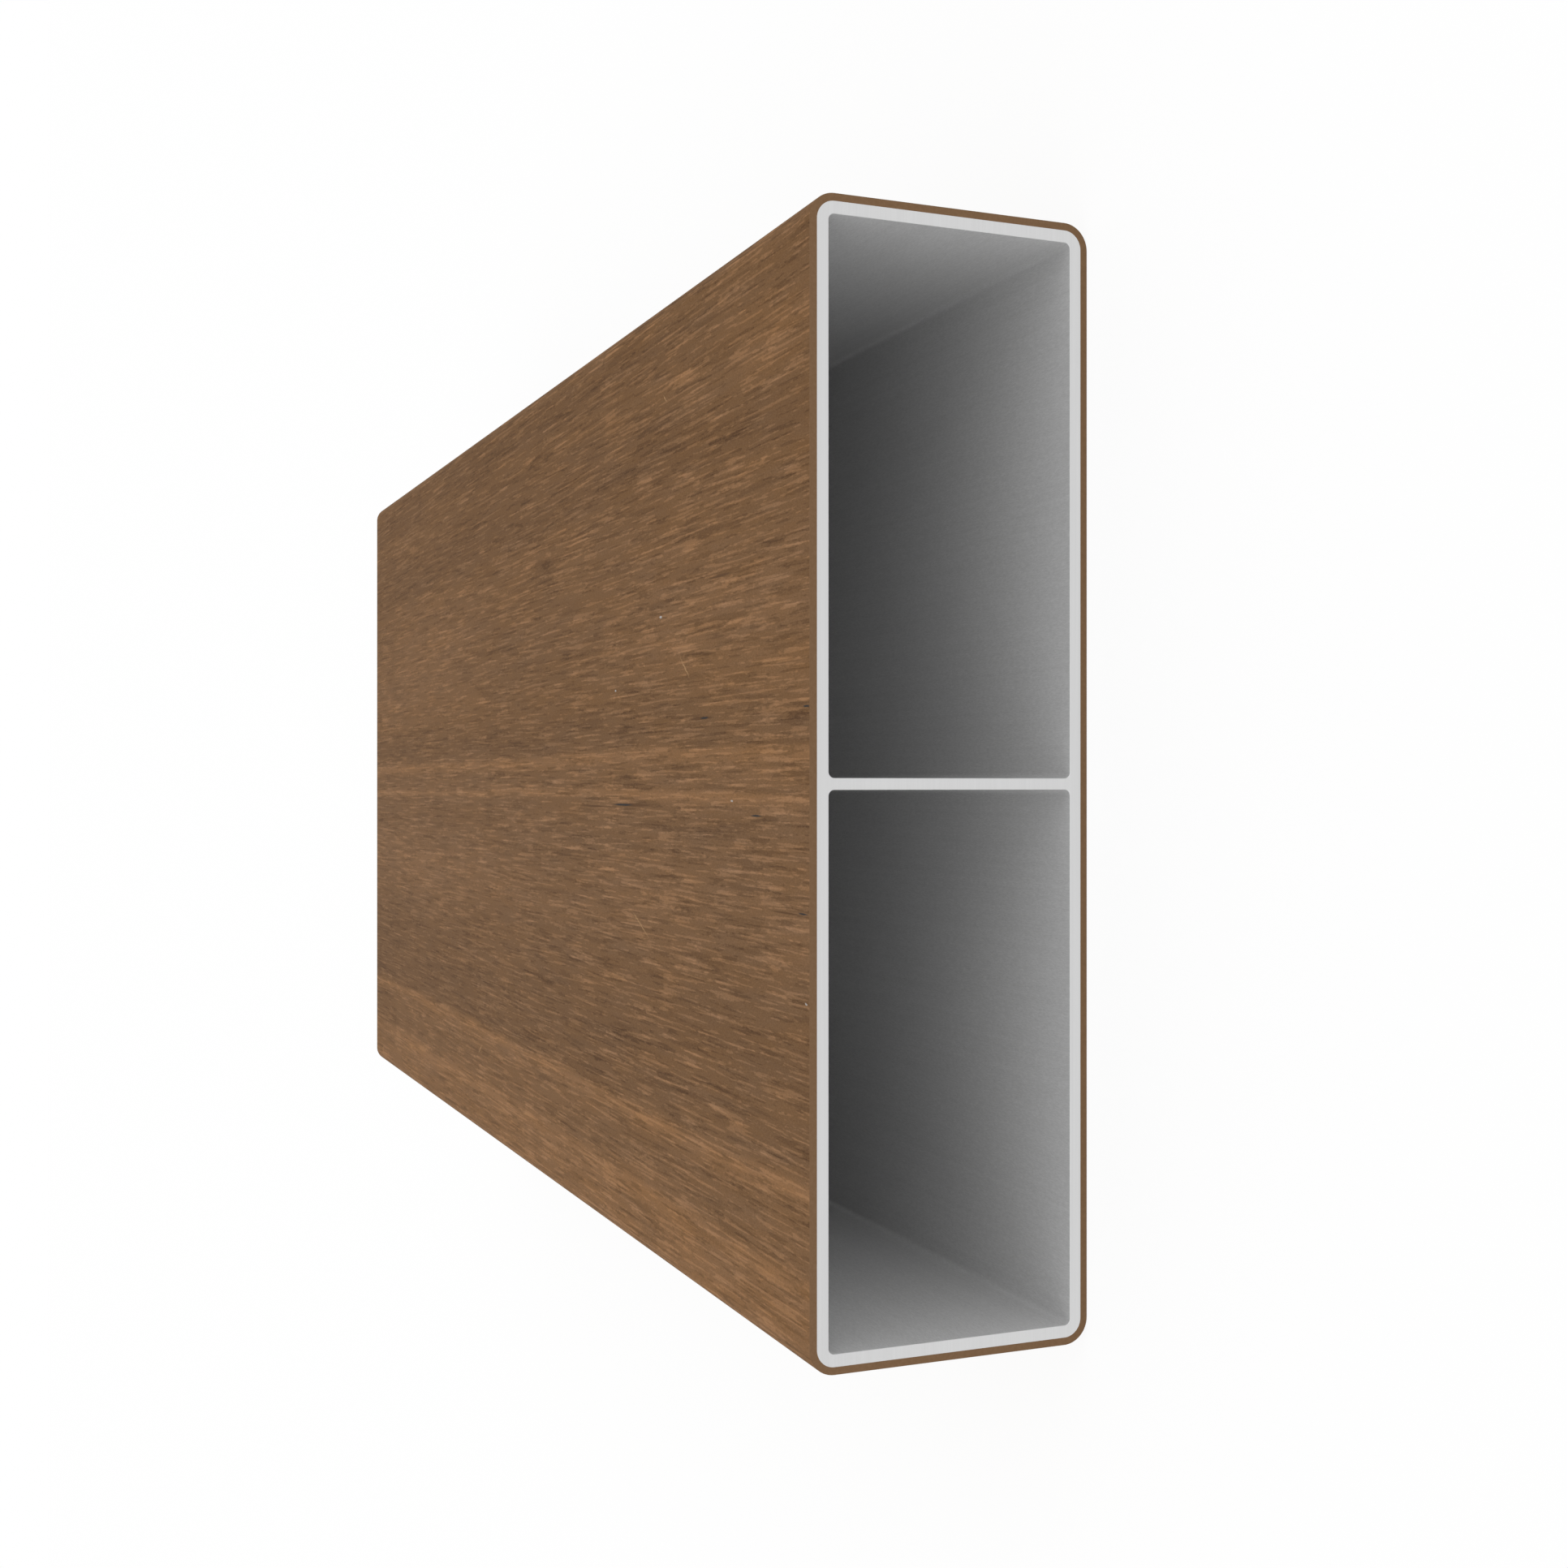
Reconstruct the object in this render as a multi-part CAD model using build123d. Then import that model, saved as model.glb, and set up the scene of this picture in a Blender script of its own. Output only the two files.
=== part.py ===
"""Aluminium decking board with a wood-grain skin, in millimetres.

An extruded aluminium core with two cells side by side carries a thin skin on all four of its faces.
The skin is bonded to the core and both are sawn to one length, so their ends are flush.

The board lies flat: X runs across its width, Y along its length and Z up through its thickness.
The origin is in the middle of the underside.
"""

from build123d import *

import os

# Driving dimensions
BOARD_LENGTH = 294.0
BOARD_WIDTH = 148.0
BOARD_THICKNESS = 40.0
SKIN_THICKNESS = 1.0
WALL_THICKNESS = 1.6
WEB_THICKNESS = 1.5
CELL_CORNER_RADIUS = 0.8
CELL_COUNT = 2

# The core fills the skin, and its corners are concentric with the cells' and the skin's.
CORE_WIDTH = BOARD_WIDTH - 2 * SKIN_THICKNESS
CORE_THICKNESS = BOARD_THICKNESS - 2 * SKIN_THICKNESS
CORE_CORNER_RADIUS = CELL_CORNER_RADIUS + WALL_THICKNESS
SKIN_CORNER_RADIUS = CORE_CORNER_RADIUS + SKIN_THICKNESS

# The cells share the room between the walls, with a web between neighbours.
WEBS_WIDTH = (CELL_COUNT - 1) * WEB_THICKNESS
CELL_WIDTH = (CORE_WIDTH - 2 * WALL_THICKNESS - WEBS_WIDTH) / CELL_COUNT
CELL_HEIGHT = CORE_THICKNESS - 2 * WALL_THICKNESS
CELL_PITCH = CELL_WIDTH + WEB_THICKNESS

# The section is drawn across the board, and centred halfway up its thickness.
SECTION_PLANE = Plane((0, 0, BOARD_THICKNESS / 2), x_dir=(1, 0, 0), z_dir=(0, -1, 0))


def core_outline():
    """The core's outer outline, which is also the inside of the skin."""
    return RectangleRounded(CORE_WIDTH, CORE_THICKNESS, CORE_CORNER_RADIUS)


def core_section():
    """The core's walls and web: its outline less the row of cells."""
    cell = RectangleRounded(CELL_WIDTH, CELL_HEIGHT, CELL_CORNER_RADIUS)
    cells = [place * cell for place in GridLocations(CELL_PITCH, 0, CELL_COUNT, 1)]
    return core_outline() - cells


def skin_section():
    """The skin's closed ring round the core."""
    return RectangleRounded(BOARD_WIDTH, BOARD_THICKNESS, SKIN_CORNER_RADIUS) - core_outline()


def extruded(section):
    """The section run along the board, half its length to each side of the middle."""
    return extrude(SECTION_PLANE * section, amount=BOARD_LENGTH / 2, both=True)


PIECES = {
    "aluminium_core": core_section(),
    "woodgrain_skin": skin_section(),
}

os.makedirs("parts", exist_ok=True)
for node, section in PIECES.items():
    export_step(extruded(section), f"parts/{node}.step")
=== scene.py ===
"""Looks of the aluminium decking board, in metres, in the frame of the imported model.

The board lies flat: X runs across its width, Y along its length and Z up through its thickness.
The camera looks down on it from beyond the sawn end at -Y, and is rolled a quarter turn, so that the
board's width runs up the picture.
"""

import math

import bmesh
import bpy
from mathutils import Matrix, Vector


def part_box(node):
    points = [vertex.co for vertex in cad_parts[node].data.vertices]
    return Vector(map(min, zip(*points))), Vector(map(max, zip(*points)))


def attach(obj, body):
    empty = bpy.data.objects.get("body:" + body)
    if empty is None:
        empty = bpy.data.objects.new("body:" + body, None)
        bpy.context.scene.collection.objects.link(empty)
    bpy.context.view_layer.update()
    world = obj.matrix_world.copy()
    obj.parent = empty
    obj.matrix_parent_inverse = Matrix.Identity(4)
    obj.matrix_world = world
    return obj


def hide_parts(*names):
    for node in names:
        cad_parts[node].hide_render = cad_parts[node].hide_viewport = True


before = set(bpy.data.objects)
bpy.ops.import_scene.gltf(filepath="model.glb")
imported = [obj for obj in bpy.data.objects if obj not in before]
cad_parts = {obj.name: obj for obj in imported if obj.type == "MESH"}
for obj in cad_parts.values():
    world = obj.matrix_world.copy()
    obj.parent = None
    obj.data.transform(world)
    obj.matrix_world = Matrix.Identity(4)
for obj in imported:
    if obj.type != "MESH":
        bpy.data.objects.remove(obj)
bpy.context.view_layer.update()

MM = 0.001
WHITE = (1.0, 1.0, 1.0, 1.0)

# Section of the extrusion, as the part has it
WALL_THICKNESS = 1.6 * MM
WEB_THICKNESS = 1.5 * MM
CELL_CORNER_RADIUS = 0.8 * MM
CORE_CORNER_RADIUS = CELL_CORNER_RADIUS + WALL_THICKNESS

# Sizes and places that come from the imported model
SKIN_LOW, SKIN_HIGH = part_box("woodgrain_skin")
CORE_LOW, CORE_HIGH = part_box("aluminium_core")
SKIN_CORNER_RADIUS = CORE_CORNER_RADIUS + CORE_LOW.x - SKIN_LOW.x
BOARD_WIDTH = SKIN_HIGH.x - SKIN_LOW.x
NEAR_END = SKIN_LOW.y
FAR_END = SKIN_HIGH.y

# Meshes: the steps round a corner, the break of a sawn edge and the bend that is shaded as an edge
CORNER_STEPS = 16
SAWN_EDGE_BREAK = 0.05 * MM
SHARP_ANGLE = math.radians(35)

# Places in each piece's list of materials
FILM, SKIN_BODY = 0, 1
MILL, SAWN = 0, 1

# The map that the skin's look is baked on when it is exported: the gap between its rows, then the share
# of its height that each kind of wall takes
BAKE_MAP = "OFBake"
MAP_GAP = 0.003
FILM_MAP_SHARE = 0.86
BROKEN_EDGE_MAP_SHARE = 0.02
SAWN_END_MAP_SHARE = 0.03
INSIDE_MAP_SHARE = 0.04

# Camera: a 45 degree lens that looks down on the board from beyond its near end
CAMERA_PLACE = Vector((0.0, NEAR_END - 216.32 * MM, SKIN_HIGH.z + 92.87 * MM))
CAMERA_LOOKS_DOWN = math.radians(22.4587)
CAMERA_SENSOR_MM = 36.0
CAMERA_LENS_MM = 43.414
CAMERA_CLIP_START = 1 * MM

# Light: an even white surround and two broad soft lamps, level enough that colours render as written
SURROUND_STRENGTH = 0.87
LAMP_STRENGTH = 0.35
LAMP_SOFTNESS = math.radians(70)
LAMP_ELEVATION = math.radians(25)
LAMP_SWING = math.radians(60)
FLOOR_SIZE = 12.0
FLOOR_WHITE_SHARE = 0.9

# Colours, as they look on a screen
SAWN_ALUMINIUM = (217, 217, 217)
MILL_ALUMINIUM = (204, 204, 204)
SKIN_EDGE = (120, 93, 68)
GRAIN_DARK = (79, 55, 36)
GRAIN_MIDDLE = (118, 88, 60)
GRAIN_LIGHT = (157, 118, 84)
SCRATCH = (160, 126, 90)
SPECK = (172, 168, 164)
PORE = (56, 54, 53)
GROOVE = (96, 70, 48)

# Wood grain. Tones are steps of a 0 to 255 screen, darker or lighter than the middle colour, and the
# span is where the dark and the light colour are reached.
GRAIN_TONE_SPAN = 30.0

# Bands along the board, the span that their tones keep within, and how far and how slowly they wander
GRAIN_BANDS = (
    # place across the board, then tone
    (72 * MM, -2), (67 * MM, -7), (61 * MM, -1), (56 * MM, -4), (49 * MM, -8), (44 * MM, -2),
    (36 * MM, -1), (25 * MM, 3), (16 * MM, 1), (8 * MM, -6), (5.5 * MM, -2), (4 * MM, 11), (2 * MM, 0),
    (0 * MM, 1), (-1 * MM, 3), (-2 * MM, 14), (-3.2 * MM, -1), (-10 * MM, 0), (-18 * MM, 4), (-27 * MM, -1),
    (-36 * MM, -5), (-49.5 * MM, -5), (-51.5 * MM, 14), (-53.5 * MM, 3), (-61 * MM, 0), (-63.5 * MM, 14),
    (-66 * MM, 7), (-71 * MM, 9),
)
GRAIN_BAND_SPAN = 15.0
GRAIN_WANDER = 1.5 * MM
GRAIN_WANDER_SIZE = (25 * MM, 160 * MM, 25 * MM)

# Broad soft patches, and a depth at which they run through the whole thickness of the board
GRAIN_SHADES = (
    # distance in from the near end and place across, then length, width and tone
    (15 * MM, 60 * MM, 90 * MM, 50 * MM, 5),
    (12 * MM, 8 * MM, 90 * MM, 40 * MM, 3),
    (38 * MM, -24 * MM, 80 * MM, 30 * MM, -3),
    (30 * MM, -46 * MM, 150 * MM, 24 * MM, 4),
    (105 * MM, -14 * MM, 110 * MM, 26 * MM, -3),
    (128 * MM, 23 * MM, 170 * MM, 34 * MM, -6),
    (176 * MM, 67 * MM, 100 * MM, 40 * MM, -4),
    (230 * MM, 38 * MM, 110 * MM, 34 * MM, 4),
    (238 * MM, -24 * MM, 90 * MM, 40 * MM, 3),
    (210 * MM, -74 * MM, 150 * MM, 24 * MM, -4),
    (290 * MM, -58 * MM, 90 * MM, 50 * MM, -5),
)
SHADE_DEPTH = 12.0

# Strength of the colour: across the board, in small patches, and for each tone of a band
GRAIN_WARMTH = (
    # place across the board, then how much more or less colour there is
    (70 * MM, 0.02), (42 * MM, 0.015), (25 * MM, -0.01), (14 * MM, 0.01), (0 * MM, -0.015),
    (-18 * MM, -0.03), (-32 * MM, -0.01), (-72 * MM, -0.005),
)
GRAIN_WARMTH_SPAN = 0.1
GRAIN_MOTTLE = 0.22
GRAIN_MOTTLE_SIZE = (3 * MM, 24 * MM, 3 * MM)
BAND_WARMTH = 0.002

# Fine grain: fibres, and dashes that show where a noise rises past a level. Two more noises break the
# dashes up and crowd them together, and the fade is how much fainter all of it is at the far end.
GRAIN_FIBRES = (
    # strength in tones, then the size of a patch in x, y and z
    (12, (3 * MM, 60 * MM, 3 * MM)),
    (8, (0.8 * MM, 30 * MM, 0.8 * MM)),
    (36, (0.2 * MM, 0.5 * MM, 0.2 * MM)),
)
GRAIN_DASHES = (
    # tone and level, then the size across and along the grain
    (13.5, 0.62, 0.58 * MM, 18 * MM),
    (14, 0.60, 0.40 * MM, 10 * MM),
    (-8, 0.60, 0.80 * MM, 16 * MM),
    (-11.5, 0.62, 0.42 * MM, 8 * MM),
)
DASH_EDGE = 0.09
DASH_BREAK = 0.4
DASH_BREAK_SIZE = (0.55 * MM, 2 * MM, 0.55 * MM)
DASH_CROWD = 0.2
DASH_CROWD_SIZE = (5 * MM, 30 * MM, 5 * MM)
FINE_GRAIN_FADE = 0.22

# A small shift of the whole grain that frays its edges
GRAIN_FRAY = (0.1 * MM, 0.8 * MM, 0.1 * MM)
GRAIN_FRAY_SIZE = (0.3 * MM, 0.7 * MM, 0.3 * MM)

# Finish of the film: it is matte, a little less so in its mottled patches, and its grain stands out a bit
FILM_ROUGHNESS = 0.9
FILM_MOTTLE_SHINE = 0.3
FILM_RELIEF = 0.03 * MM
FILM_RELIEF_STRENGTH = 0.3
SKIN_SPECULAR = 0.04

# Plain materials: the span of their tones, and layers of the same kind as the fibres of the grain
PLAIN_TONE_SPAN = 16
SKIN_BODY_GRAIN = (
    (18, (0.5 * MM, 0.5 * MM, 0.5 * MM)),
)
MILL_LINES = (
    (10, (0.8 * MM, 120 * MM, 0.8 * MM)),
    (40, (0.15 * MM, 0.8 * MM, 0.15 * MM)),
)
SAW_LINES = (
    (10, (40 * MM, 40 * MM, 0.3 * MM)),
)

# Starts of the noises, so that no two of them run alike
WANDER_SEED = 21.0
FRAY_SEED = 31.0
MOTTLE_SEED = 41.0
STREAK_SEED = 50.0
BREAK_SEED = 80.0
CROWD_SEED = 110.0
DASH_SEED_STEP = 3.7
LAYER_SEED_STEP = 7.3

# Marks on the top face: the distance in from the near end and the place across, then the length, the
# width and the turn from the grain in degrees
SCRATCHES = (
    (47 * MM, 17.2 * MM, 6.5 * MM, 0.36 * MM, 38),
    (68 * MM, -22 * MM, 11 * MM, 0.36 * MM, 24),
    (56 * MM, 58.5 * MM, 2.6 * MM, 0.3 * MM, 40),
    (176 * MM, -55.7 * MM, 4.6 * MM, 0.4 * MM, -35),
)
SPECKS = (
    (58 * MM, 25.5 * MM, 1.5 * MM, 0.55 * MM, 0),
    (81 * MM, 15.3 * MM, 1.1 * MM, 0.45 * MM, 0),
    (27.5 * MM, -2.3 * MM, 1.0 * MM, 0.4 * MM, 0),
    (1.5 * MM, -27.5 * MM, 0.9 * MM, 0.4 * MM, 0),
)
PORES = (
    (38.5 * MM, 9.5 * MM, 4.5 * MM, 0.4 * MM, 0),
    (1.4 * MM, 9.8 * MM, 3 * MM, 0.4 * MM, 0),
    (77 * MM, -3.3 * MM, 13 * MM, 0.45 * MM, 0),
    (18.5 * MM, -4.2 * MM, 5 * MM, 0.4 * MM, 0),
    (2.5 * MM, -16.3 * MM, 4 * MM, 0.3 * MM, 0),
)
GROOVES = (
    (32 * MM, 29.2 * MM, 12 * MM, 0.6 * MM, 0),
    (93 * MM, -3.7 * MM, 18 * MM, 0.5 * MM, 0),
    (8 * MM, -16.5 * MM, 14 * MM, 0.4 * MM, 0),
    (53 * MM, -13.7 * MM, 3 * MM, 0.5 * MM, 0),
    (40 * MM, 9.5 * MM, 14 * MM, 0.6 * MM, 0),
    (72 * MM, -3.3 * MM, 26 * MM, 0.8 * MM, 0),
)

# How deep a mark goes, and the share of its size that has its full colour
MARK_DEPTH = 0.5 * MM
MARK_CORE = 0.4


def linear(screen_colour):
    """A colour given as it looks on an sRGB screen, 0 to 255, as the linear colour that shaders take."""
    shares = [c / 255 for c in screen_colour]
    return tuple(s / 12.92 if s <= 0.04045 else ((s + 0.055) / 1.055) ** 2.4 for s in shares) + (1.0,)


class Shader:
    """The node tree of a material or of the world, with short ways to add nodes and feed their sockets."""

    def __init__(self, owner, surface="Principled BSDF"):
        owner.use_nodes = True
        self.owner = owner
        self.tree = owner.node_tree
        self.surface = self.tree.nodes[surface]

    def feed(self, socket, value):
        """Links a socket to the output of another node, or sets its own value."""
        if isinstance(value, bpy.types.NodeSocket):
            self.tree.links.new(value, socket)
        else:
            socket.default_value = value

    def add(self, kind, output, inputs, **settings):
        """A new node with these inputs and settings. Returns the named output."""
        node = self.tree.nodes.new(kind)
        for name, value in settings.items():
            setattr(node, name, value)
        for socket, value in inputs.items():
            self.feed(node.inputs[socket], value)
        return node.outputs[output]

    def math(self, operation, *values):
        """The result of a math node for these values."""
        return self.add("ShaderNodeMath", "Value", dict(enumerate(values)), operation=operation)

    def place(self):
        """The point on the board, in metres in its own frame."""
        return self.add("ShaderNodeTexCoord", "Object", {})

    def stretched(self, place, size, seed):
        """The place counted in patches of this size in x, y and z, from a start that the seed sets."""
        scale = tuple(1 / s for s in size)
        return self.add(
            "ShaderNodeVectorMath", "Vector", {0: place, 1: scale, 2: (seed, seed, seed)},
            operation="MULTIPLY_ADD")

    def noise(self, place, size, seed, detail=0.0, roughness=0.5, output="Fac"):
        """Smooth noise with patches of this size."""
        stretched = self.stretched(place, size, seed)
        return self.add(
            "ShaderNodeTexNoise", output,
            {"Vector": stretched, "Scale": 1.0, "Detail": detail, "Roughness": roughness})

    def oval(self, place, middle, size, turn=0.0):
        """The distance from the middle of an oval of this size, turned about z: 1 is its edge."""
        radii = tuple(s / 2 for s in size)
        local = self.add(
            "ShaderNodeMapping", "Vector",
            {"Vector": place, "Location": middle, "Rotation": (0.0, 0.0, turn), "Scale": radii},
            vector_type="TEXTURE")
        return self.add("ShaderNodeVectorMath", "Value", {0: local}, operation="LENGTH")

    def rise(self, value, low, high, top=1.0):
        """A smooth rise from 0 at low to top at high."""
        return self.add(
            "ShaderNodeMapRange", "Result",
            {"Value": value, "From Min": low, "From Max": high, "To Max": top},
            interpolation_type="SMOOTHSTEP")

    def ramp(self, value, stops):
        """Colours by value, from stops of (value, linear colour)."""
        node = self.tree.nodes.new("ShaderNodeValToRGB")
        elements = node.color_ramp.elements
        while len(elements) < len(stops):
            elements.new(1.0)
        for element, (position, colour) in zip(elements, stops):
            element.position = position
            element.color = colour
        self.feed(node.inputs["Fac"], value)
        return node.outputs["Color"]

    def tone_ramp(self, tone, span, dark, middle, light):
        """The share of the way from dark to light that a tone is at, and its colour."""
        share = self.math("MULTIPLY_ADD", tone, 1 / (2 * span), 0.5)
        colour = self.ramp(share, [(0.0, linear(dark)), (0.5, linear(middle)), (1.0, linear(light))])
        return share, colour

    def mix(self, share, first, second):
        """A colour that goes from the first to the second by share."""
        # The colour sockets go by number, because this node has others with the same names
        return self.add("ShaderNodeMix", 2, {0: share, 6: first, 7: second}, data_type="RGBA")

    def bump(self, height, distance, strength):
        """The direction that the surface faces with this height laid on it."""
        return self.add(
            "ShaderNodeBump", "Normal", {"Height": height, "Distance": distance, "Strength": strength})

    def finish(self, **sockets):
        """Feeds the surface shader's sockets, named with _ for spaces. Returns the tree's owner."""
        for name, value in sockets.items():
            self.feed(self.surface.inputs[name.replace("_", " ")], value)
        return self.owner


# Meshes

def rounded_rectangle(low_x, high_x, low_z, high_z, radius):
    """Points round a rectangle with rounded corners, anticlockwise as seen from -Y."""
    corners = [
        (high_x - radius, high_z - radius),
        (low_x + radius, high_z - radius),
        (low_x + radius, low_z + radius),
        (high_x - radius, low_z + radius),
    ]
    points = []
    for quarter, (x, z) in enumerate(corners):
        for step in range(CORNER_STEPS + 1):
            angle = (quarter + step / CORNER_STEPS) * math.pi / 2
            points.append((x + radius * math.cos(angle), z + radius * math.sin(angle)))
    return points


def skin_outline(inset=0.0):
    """The outside of the skin, or a line inside it."""
    return rounded_rectangle(
        SKIN_LOW.x + inset, SKIN_HIGH.x - inset, SKIN_LOW.z + inset, SKIN_HIGH.z - inset,
        SKIN_CORNER_RADIUS - inset)


def core_outline():
    """The outside of the core, where the skin sits on it."""
    return rounded_rectangle(CORE_LOW.x, CORE_HIGH.x, CORE_LOW.z, CORE_HIGH.z, CORE_CORNER_RADIUS)


def cell_outlines(inset=0.0):
    """The outlines of the cells on each side of the web, or lines inside them."""
    low_z = CORE_LOW.z + WALL_THICKNESS + inset
    high_z = CORE_HIGH.z - WALL_THICKNESS - inset
    spans = [
        (CORE_LOW.x + WALL_THICKNESS, -WEB_THICKNESS / 2),
        (WEB_THICKNESS / 2, CORE_HIGH.x - WALL_THICKNESS),
    ]
    radius = CELL_CORNER_RADIUS - inset
    return [rounded_rectangle(low + inset, high - inset, low_z, high_z, radius) for low, high in spans]


def add_rings(mesh, sections):
    """Closed rings of vertices, one for each section of (outline, y)."""
    return [[mesh.verts.new((x, y, z)) for x, z in outline] for outline, y in sections]


def bridge(mesh, ring, following, material):
    """The wall from one ring of vertices to the next, as its faces in order round the ring."""
    wall = []
    for i, vertex in enumerate(ring):
        after = (i + 1) % len(ring)
        face = mesh.faces.new((vertex, ring[after], following[after], following[i]))
        face.material_index = material
        wall.append(face)
    return wall


def unroll(layer, wall, low, high):
    """Lays a wall flat between two heights of a map, in two rows of half the way round, each full width."""
    half = len(wall) // 2
    height = (high - low) / 2
    for row, faces in enumerate((wall[:half], wall[half:])):
        bottom = low + row * height + MAP_GAP / 2
        top = bottom + height - MAP_GAP
        widths = [face.edges[0].calc_length() for face in faces]
        left = 0.0
        for face, width in zip(faces, widths):
            right = left + width / sum(widths)
            corners = ((left, bottom), (right, bottom), (right, top), (left, top))
            for loop, corner in zip(face.loops, corners):
                loop[layer].uv = corner
            left = right


def ring_edges(ring):
    """The edges round a ring of vertices."""
    found = []
    for vertex, after in zip(ring, ring[1:] + ring[:1]):
        found += [edge for edge in vertex.link_edges if edge.other_vert(vertex) is after]
    return found


def add_object(name, mesh, materials):
    """A new object in the scene with this mesh and these materials."""
    data = bpy.data.meshes.new(name)
    mesh.to_mesh(data)
    mesh.free()
    for material in materials:
        data.materials.append(material)
    added = bpy.data.objects.new(name, data)
    bpy.context.scene.collection.objects.link(added)
    return added


def make_piece(name, node, mesh, materials):
    """The finished piece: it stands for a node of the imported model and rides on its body."""
    bmesh.ops.recalc_face_normals(mesh, faces=mesh.faces)
    piece = add_object(name, mesh, materials)
    piece.data.shade_smooth()
    piece.data.set_sharp_from_angle(angle=SHARP_ANGLE)
    normals = piece.modifiers.new("flat faces stay flat", "WEIGHTED_NORMAL")
    normals.keep_sharp = True
    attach(piece, "root")
    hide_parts(node)
    return piece


def make_skin(film, body):
    """The skin: film outside, and its plain body on the sawn ends and inside."""
    mesh = bmesh.new()
    near, far, edge_break = NEAR_END, FAR_END, SAWN_EDGE_BREAK
    outer = add_rings(mesh, [
        (skin_outline(edge_break), near),
        (skin_outline(), near + edge_break),
        (skin_outline(), far - edge_break),
        (skin_outline(edge_break), far),
    ])
    inner = add_rings(mesh, [(core_outline(), near), (core_outline(), far)])
    walls = (
        # the rings at each side of a wall, its material and its share of the bake map's height
        (outer[1], outer[2], FILM, FILM_MAP_SHARE),
        (outer[0], outer[1], SKIN_BODY, BROKEN_EDGE_MAP_SHARE),
        (outer[2], outer[3], SKIN_BODY, BROKEN_EDGE_MAP_SHARE),
        (outer[0], inner[0], SKIN_BODY, SAWN_END_MAP_SHARE),
        (outer[3], inner[1], SKIN_BODY, SAWN_END_MAP_SHARE),
        (inner[0], inner[1], SKIN_BODY, INSIDE_MAP_SHARE),
    )
    layer = mesh.loops.layers.uv.new(BAKE_MAP)
    used = 0.0
    for ring, following, material, share in walls:
        unroll(layer, bridge(mesh, ring, following, material), used, used + share)
        used += share
    piece = make_piece("woodgrain_skin_surface", "woodgrain_skin", mesh, [film, body])


def make_core(mill, sawn):
    """The extrusion: mill finish inside its cells and out, and sawn ends."""
    mesh = bmesh.new()
    near, far, edge_break = NEAR_END, FAR_END, SAWN_EDGE_BREAK
    outer = add_rings(mesh, [(core_outline(), near), (core_outline(), far)])
    bridge(mesh, *outer, MILL)
    rims = {near: ring_edges(outer[0]), far: ring_edges(outer[-1])}
    for plain, broken in zip(cell_outlines(), cell_outlines(-edge_break)):
        rings = add_rings(mesh, [
            (broken, near),
            (plain, near + edge_break),
            (plain, far - edge_break),
            (broken, far),
        ])
        for ring, following, material in zip(rings, rings[1:], (SAWN, MILL, SAWN)):
            bridge(mesh, ring, following, material)
        rims[near] += ring_edges(rings[0])
        rims[far] += ring_edges(rings[-1])
    for edges in rims.values():
        filled = bmesh.ops.triangle_fill(mesh, edges=edges, use_beauty=True)
        for face in filled["geom"]:
            if isinstance(face, bmesh.types.BMFace):
                face.material_index = SAWN
    piece = make_piece("aluminium_core_surface", "aluminium_core", mesh, [mill, sawn])


# Materials

def frayed(shader, place):
    """The place with a small random shift, which frays the edges of what is drawn there."""
    shift = shader.noise(place, GRAIN_FRAY_SIZE, FRAY_SEED, detail=1.0, output="Color")
    return shader.add(
        "ShaderNodeVectorMath", "Vector", {0: shift, 1: GRAIN_FRAY, 2: place}, operation="MULTIPLY_ADD")


def wandering_share(shader, place):
    """How far across the board the place is, from 0 to 1, along lines that wander a little."""
    wander = shader.noise(place, GRAIN_WANDER_SIZE, WANDER_SEED, detail=1.0)
    across = shader.add("ShaderNodeSeparateXYZ", "X", {0: place})
    across = shader.math("MULTIPLY_ADD", wander, 2 * GRAIN_WANDER, across)
    return shader.math("MULTIPLY_ADD", across, 1 / BOARD_WIDTH, -(SKIN_LOW.x + GRAIN_WANDER) / BOARD_WIDTH)


def profile(shader, share, values, span):
    """A value by the share of the way across, from (place across, value) with no value beyond the span."""
    stops = []
    for at, value in reversed(values):
        grey = 0.5 + value / (2 * span)
        stops.append(((at - SKIN_LOW.x) / BOARD_WIDTH, (grey, grey, grey, 1.0)))
    return shader.math("MULTIPLY_ADD", shader.ramp(share, stops), 2 * span, -span)


def layered_tone(shader, place, layers):
    """Tones from layers of noise, each with a strength and the size of its patches."""
    tone = 0.0
    for number, (strength, size) in enumerate(layers):
        patches = shader.noise(place, size, number * LAYER_SEED_STEP, detail=2.0, roughness=0.7)
        patches = shader.math("SUBTRACT", patches, 0.5)
        tone = shader.math("MULTIPLY_ADD", patches, strength, tone)
    return tone


def broad_tone(shader, place, bands):
    """Tones of the grain's bands and soft patches."""
    tone = bands
    for inward, across, length, width, strength in GRAIN_SHADES:
        distance = shader.oval(place, (across, NEAR_END + inward, 0.0), (width, length, SHADE_DEPTH))
        tone = shader.math("ADD", shader.rise(distance, 1.0, 0.0, strength), tone)
    return tone


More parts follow.
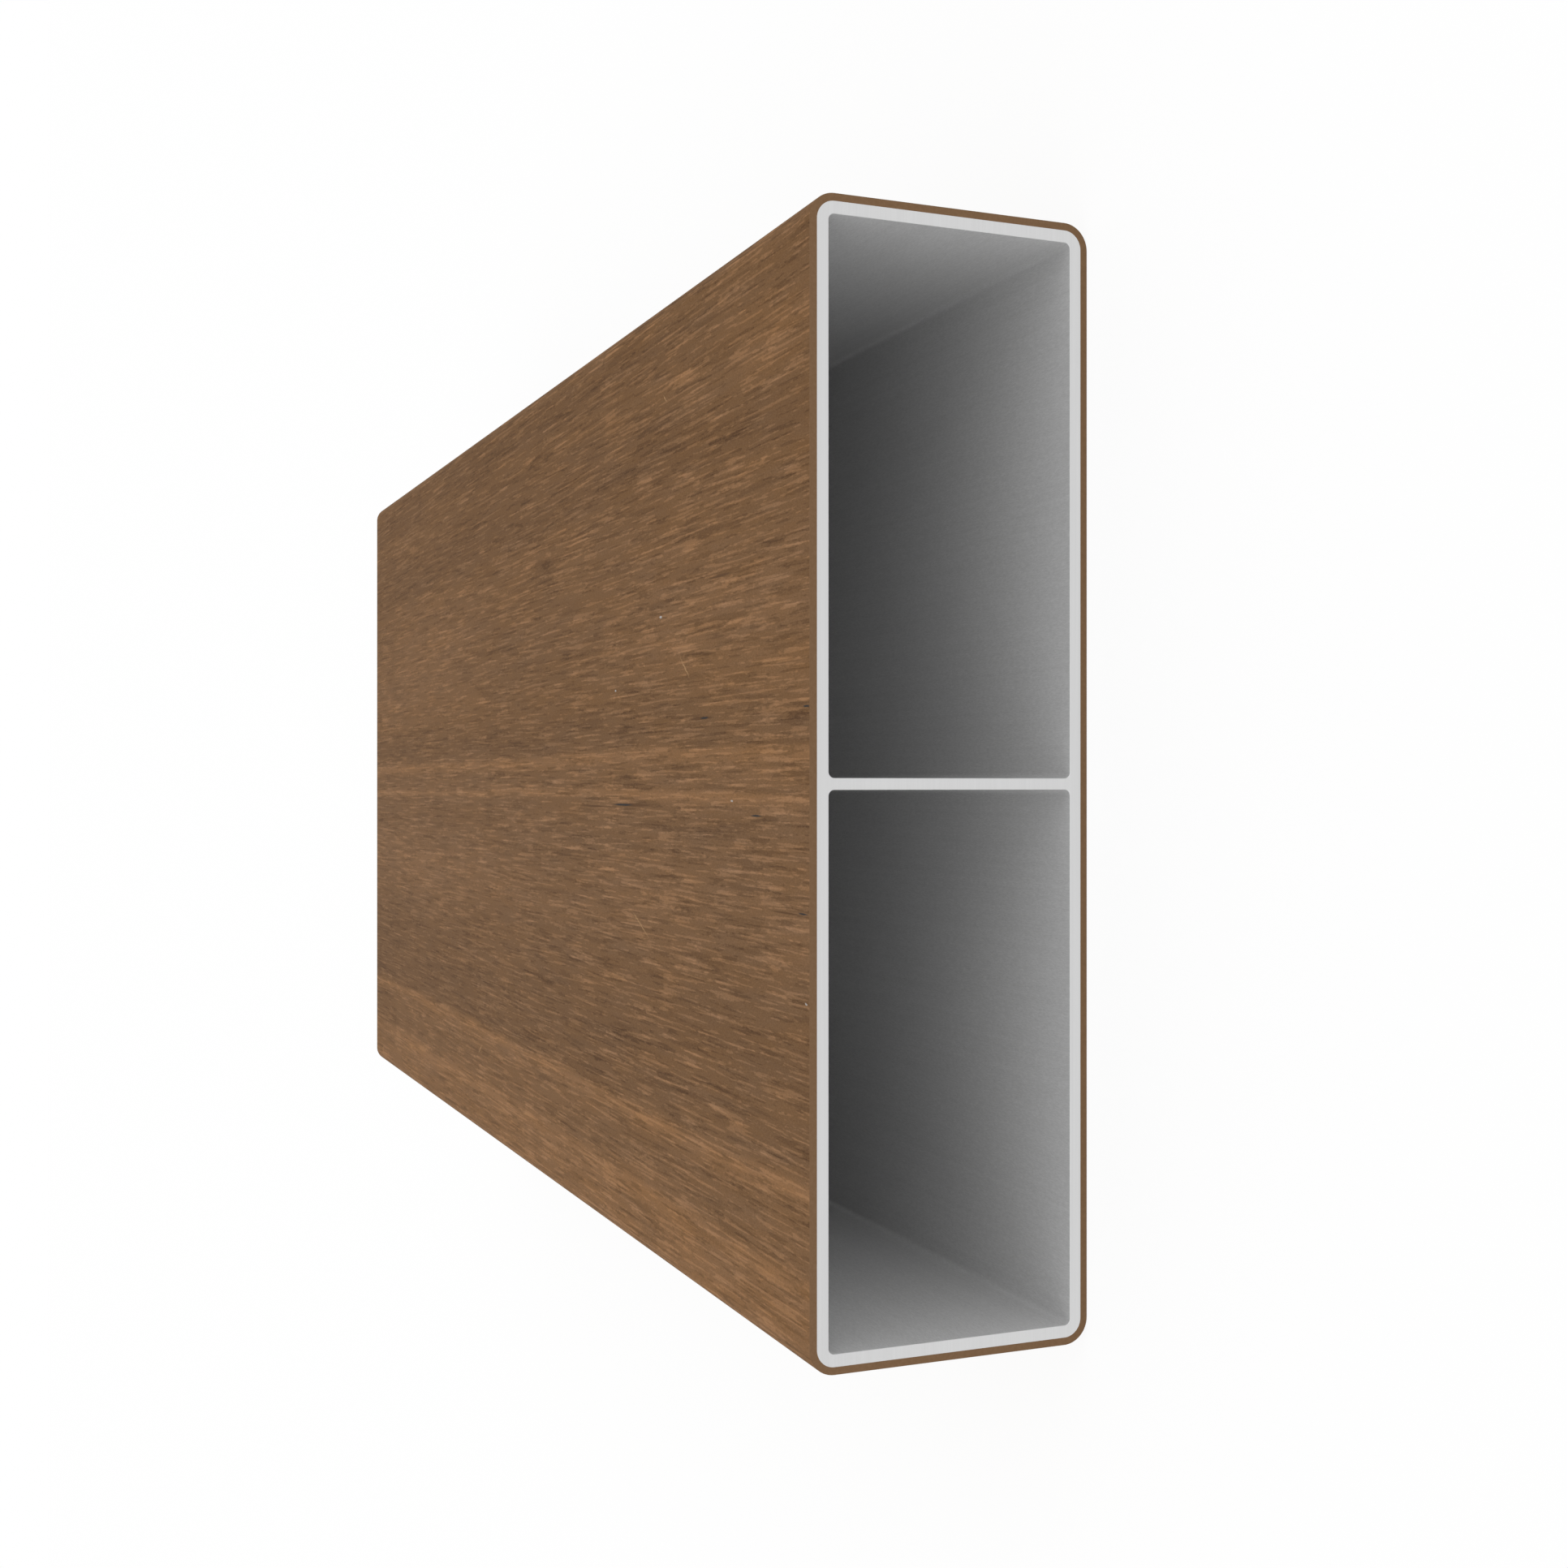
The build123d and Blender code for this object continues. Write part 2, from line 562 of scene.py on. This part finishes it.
def fine_tone(shader, place):
    """Tones of the grain's fibres and dashes, which grow a little fainter toward the far end."""
    tone = layered_tone(shader, place, GRAIN_FIBRES)
    for number, (strength, level, across, along) in enumerate(GRAIN_DASHES):
        start = number * DASH_SEED_STEP
        streaks = shader.noise(place, (across, along, across), STREAK_SEED + start)
        breaks = shader.noise(place, DASH_BREAK_SIZE, BREAK_SEED + start, detail=1.0)
        streaks = shader.math("MULTIPLY_ADD", breaks, DASH_BREAK, streaks)
        crowds = shader.noise(place, DASH_CROWD_SIZE, CROWD_SEED + start, detail=1.0)
        streaks = shader.math("MULTIPLY_ADD", crowds, DASH_CROWD, streaks)
        level += (DASH_BREAK + DASH_CROWD) / 2
        dashes = shader.rise(streaks, level, level + DASH_EDGE, strength)
        tone = shader.math("ADD", dashes, tone)
    along = shader.add("ShaderNodeSeparateXYZ", "Y", {0: place})
    fade = shader.rise(along, NEAR_END, FAR_END, FINE_GRAIN_FADE)
    return shader.math("MULTIPLY", tone, shader.math("SUBTRACT", 1.0, fade))


def marked(shader, place, colour, marks, mark_colour):
    """The colour with these marks drawn on the top face."""
    shade = None
    for inward, across, length, width, turn in marks:
        middle = (across, NEAR_END + inward, SKIN_HIGH.z)
        distance = shader.oval(place, middle, (width, length, MARK_DEPTH), math.radians(-turn))
        mark = shader.rise(distance, 1.0, MARK_CORE)
        shade = mark if shade is None else shader.math("MAXIMUM", shade, mark)
    return shader.mix(shade, colour, linear(mark_colour))


def woodgrain_film():
    """The printed wood grain, as a solid pattern that runs along the board."""
    shader = Shader(bpy.data.materials.new("woodgrain film"))
    place = frayed(shader, shader.place())
    across = wandering_share(shader, place)
    bands = profile(shader, across, GRAIN_BANDS, GRAIN_BAND_SPAN)
    tone = shader.math("ADD", broad_tone(shader, place, bands), fine_tone(shader, place))
    share, colour = shader.tone_ramp(tone, GRAIN_TONE_SPAN, GRAIN_DARK, GRAIN_MIDDLE, GRAIN_LIGHT)
    mottle = shader.noise(place, GRAIN_MOTTLE_SIZE, MOTTLE_SEED, detail=3.0, roughness=0.8)
    warmth = profile(shader, across, GRAIN_WARMTH, GRAIN_WARMTH_SPAN)
    warmth = shader.math("MULTIPLY_ADD", bands, BAND_WARMTH, warmth)
    warmth = shader.math("ADD", warmth, 1 - GRAIN_MOTTLE / 2)
    saturation = shader.math("MULTIPLY_ADD", mottle, GRAIN_MOTTLE, warmth)
    colour = shader.add("ShaderNodeHueSaturation", "Color", {"Color": colour, "Saturation": saturation})
    for marks, mark_colour in ((GROOVES, GROOVE), (PORES, PORE), (SCRATCHES, SCRATCH), (SPECKS, SPECK)):
        colour = marked(shader, place, colour, marks, mark_colour)
    roughness = shader.math("MULTIPLY_ADD", mottle, -FILM_MOTTLE_SHINE, FILM_ROUGHNESS)
    normal = shader.bump(share, FILM_RELIEF, FILM_RELIEF_STRENGTH)
    return shader.finish(
        Base_Color=colour, Roughness=roughness, Specular_IOR_Level=SKIN_SPECULAR, Normal=normal)


def varied(shader, colour, layers):
    """A plain colour, a little darker and lighter by layers of noise."""
    tone = layered_tone(shader, shader.place(), layers)
    dark = [c - PLAIN_TONE_SPAN for c in colour]
    light = [c + PLAIN_TONE_SPAN for c in colour]
    return shader.tone_ramp(tone, PLAIN_TONE_SPAN, dark, colour, light)[1]


def skin_body():
    """The plain body of the skin, which its sawn ends show."""
    shader = Shader(bpy.data.materials.new("skin edge"))
    colour = varied(shader, SKIN_EDGE, SKIN_BODY_GRAIN)
    return shader.finish(Base_Color=colour, Roughness=0.7, Specular_IOR_Level=SKIN_SPECULAR)


def mill_aluminium():
    """Aluminium as it leaves the die: faint lines along the board and a fine satin."""
    shader = Shader(bpy.data.materials.new("mill aluminium"))
    colour = varied(shader, MILL_ALUMINIUM, MILL_LINES)
    return shader.finish(Base_Color=colour, Metallic=0.25, Roughness=0.6, Specular_IOR_Level=0.3)


def sawn_aluminium():
    """Aluminium with the faint lines of the saw."""
    shader = Shader(bpy.data.materials.new("sawn aluminium"))
    colour = varied(shader, SAWN_ALUMINIUM, SAW_LINES)
    return shader.finish(Base_Color=colour, Metallic=1.0, Roughness=0.55)


# Stage

def seen_directly(shader):
    """1 for rays that come from the camera, straight or by way of gloss or glass."""
    path = shader.tree.nodes.new("ShaderNodeLightPath")
    seen = path.outputs["Is Camera Ray"]
    for name in ("Is Glossy Ray", "Is Transmission Ray"):
        seen = shader.math("MAXIMUM", seen, path.outputs[name])
    return seen


def make_floor():
    """A white floor that takes the board's soft shadow."""
    shader = Shader(bpy.data.materials.new("white floor"))
    white = shader.finish(Base_Color=WHITE, Roughness=1.0, Specular_IOR_Level=0.0)
    share = shader.math("MULTIPLY", seen_directly(shader), FLOOR_WHITE_SHARE)
    glow = shader.add("ShaderNodeEmission", "Emission", {"Color": WHITE, "Strength": 1.0})
    surface = shader.surface.outputs["BSDF"]
    mixed = shader.add("ShaderNodeMixShader", "Shader", {0: share, 1: surface, 2: glow})
    shader.feed(shader.tree.nodes["Material Output"].inputs["Surface"], mixed)
    mesh = bmesh.new()
    bmesh.ops.create_grid(mesh, x_segments=1, y_segments=1, size=FLOOR_SIZE / 2)
    floor = add_object("floor", mesh, [white])


def make_surround():
    """An even surround, which lights the board a little less than the white that is seen of it."""
    shader = Shader(bpy.data.worlds.new("surround"), "Background")
    strength = shader.add(
        "ShaderNodeMapRange", "Result",
        {"Value": seen_directly(shader), "To Min": SURROUND_STRENGTH, "To Max": 1.0})
    bpy.context.scene.world = shader.finish(Color=WHITE, Strength=strength)


def make_lamps():
    """Two broad soft lamps, one to each side of the camera."""
    level = math.cos(LAMP_ELEVATION)
    for name, side in (("left lamp", -1), ("right lamp", 1)):
        data = bpy.data.lights.new(name, "SUN")
        data.energy = LAMP_STRENGTH
        data.angle = LAMP_SOFTNESS
        lamp = bpy.data.objects.new(name, data)
        place = Vector((
            side * level * math.sin(LAMP_SWING), -level * math.cos(LAMP_SWING), math.sin(LAMP_ELEVATION)))
        lamp.rotation_euler = place.to_track_quat("Z", "Y").to_euler()
        bpy.context.scene.collection.objects.link(lamp)


def make_camera():
    """The camera, with the board's +X up in the picture."""
    data = bpy.data.cameras.new("camera")
    data.sensor_width = CAMERA_SENSOR_MM
    data.lens = CAMERA_LENS_MM
    data.clip_start = CAMERA_CLIP_START
    camera = bpy.data.objects.new("camera", data)
    up = Vector((1.0, 0.0, 0.0))
    backward = Vector((0.0, -math.cos(CAMERA_LOOKS_DOWN), math.sin(CAMERA_LOOKS_DOWN)))
    right = up.cross(backward)
    turn = Matrix((right, up, backward)).transposed()
    camera.matrix_world = Matrix.Translation(CAMERA_PLACE) @ turn.to_4x4()
    bpy.context.scene.collection.objects.link(camera)
    bpy.context.scene.camera = camera


make_skin(woodgrain_film(), skin_body())
make_core(mill_aluminium(), sawn_aluminium())
make_floor()
make_surround()
make_lamps()
make_camera()
bpy.context.scene.view_settings.view_transform = "Standard"
